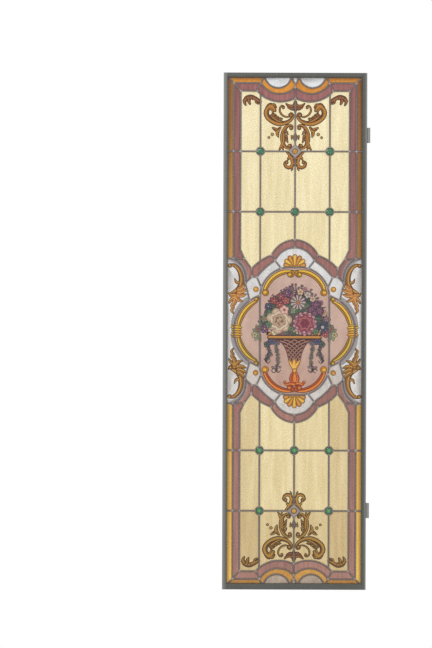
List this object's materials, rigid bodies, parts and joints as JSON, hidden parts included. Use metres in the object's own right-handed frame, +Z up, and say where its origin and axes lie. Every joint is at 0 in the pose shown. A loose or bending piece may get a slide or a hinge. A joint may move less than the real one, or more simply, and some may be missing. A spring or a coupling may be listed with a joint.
{
  "type": "stained glass window",
  "caption": "Tall leaded stained glass casement in a welded steel frame, with a lobed medallion and two hinge barrels.",
  "frame": {"origin": "on the hinge axis, at the underside (seat) of the lower hinge barrel", "axes": "+X to the right seen from the front, -Y towards the viewer, +Z up along the hinge axis"},
  "size_m": [0.5113, 0.022, 1.8],
  "materials": {
    "painted_steel": "grey-green paint, worn, satin",
    "lead": "dull lead with brighter tinned solder joints",
    "cream_glass": "hammered cathedral glass, cream, streaked",
    "amber_glass": "cathedral glass, amber",
    "purple_glass": "cathedral glass, dusty purple, streaked",
    "white_glass": "granular white glass",
    "painted_glass": "pinkish glass with fired vitreous paint",
    "green_jewel": "pressed domed glass, green",
    "amber_jewel": "pressed domed glass, amber"
  },
  "bodies": {
    "root": {"amber_border_lower_left": "amber_glass", "amber_border_lower_right": "amber_glass", "amber_border_upper_left": "amber_glass", "amber_border_upper_right": "amber_glass", "amber_jewel_lower": "amber_jewel", "amber_jewel_upper": "amber_jewel", "cream_pane_lower_end_inner_left": "cream_glass", "cream_pane_lower_end_inner_right": "cream_glass", "cream_pane_lower_end_outer_left": "cream_glass", "cream_pane_lower_end_outer_right": "cream_glass", "cream_pane_lower_medallion_inner_left": "cream_glass", "cream_pane_lower_medallion_inner_right": "cream_glass", "cream_pane_lower_medallion_outer_left": "cream_glass", "cream_pane_lower_medallion_outer_right": "cream_glass", "cream_pane_lower_middle_inner_left": "cream_glass", "cream_pane_lower_middle_inner_right": "cream_glass", "cream_pane_lower_middle_outer_left": "cream_glass", "cream_pane_lower_middle_outer_right": "cream_glass", "cream_pane_upper_end_inner_left": "cream_glass", "cream_pane_upper_end_inner_right": "cream_glass", "cream_pane_upper_end_outer_left": "cream_glass", "cream_pane_upper_end_outer_right": "cream_glass", "cream_pane_upper_medallion_inner_left": "cream_glass", "cream_pane_upper_medallion_inner_right": "cream_glass", "cream_pane_upper_medallion_outer_left": "cream_glass", "cream_pane_upper_medallion_outer_right": "cream_glass", "cream_pane_upper_middle_inner_left": "cream_glass", "cream_pane_upper_middle_inner_right": "cream_glass", "cream_pane_upper_middle_outer_left": "cream_glass", "cream_pane_upper_middle_outer_right": "cream_glass", "end_middle_piece_lower": "white_glass", "end_middle_piece_upper": "white_glass", "green_jewel_lower_centre": "green_jewel", "green_jewel_lower_end_left": "green_jewel", "green_jewel_lower_end_right": "green_jewel", "green_jewel_lower_middle_left": "green_jewel", "green_jewel_lower_middle_right": "green_jewel", "green_jewel_upper_centre": "green_jewel", "green_jewel_upper_end_left": "green_jewel", "green_jewel_upper_end_right": "green_jewel", "green_jewel_upper_middle_left": "green_jewel", "green_jewel_upper_middle_right": "green_jewel", "hinge_barrel_lower": "painted_steel", "hinge_barrel_upper": "painted_steel", "lead_came_lattice": "lead", "lunette_lower_left": "white_glass", "lunette_lower_right": "white_glass", "lunette_upper_left": "white_glass", "lunette_upper_right": "white_glass", "medallion_centre": "painted_glass", "medallion_lobe_left": "painted_glass", "medallion_lobe_right": "painted_glass", "purple_border_lower": "purple_glass", "purple_border_upper": "purple_glass", "rocaille_pane_left": "white_glass", "rocaille_pane_right": "white_glass", "steel_frame": "painted_steel", "white_band_lower": "white_glass", "white_band_upper": "white_glass"}
  },
  "joints": []
}
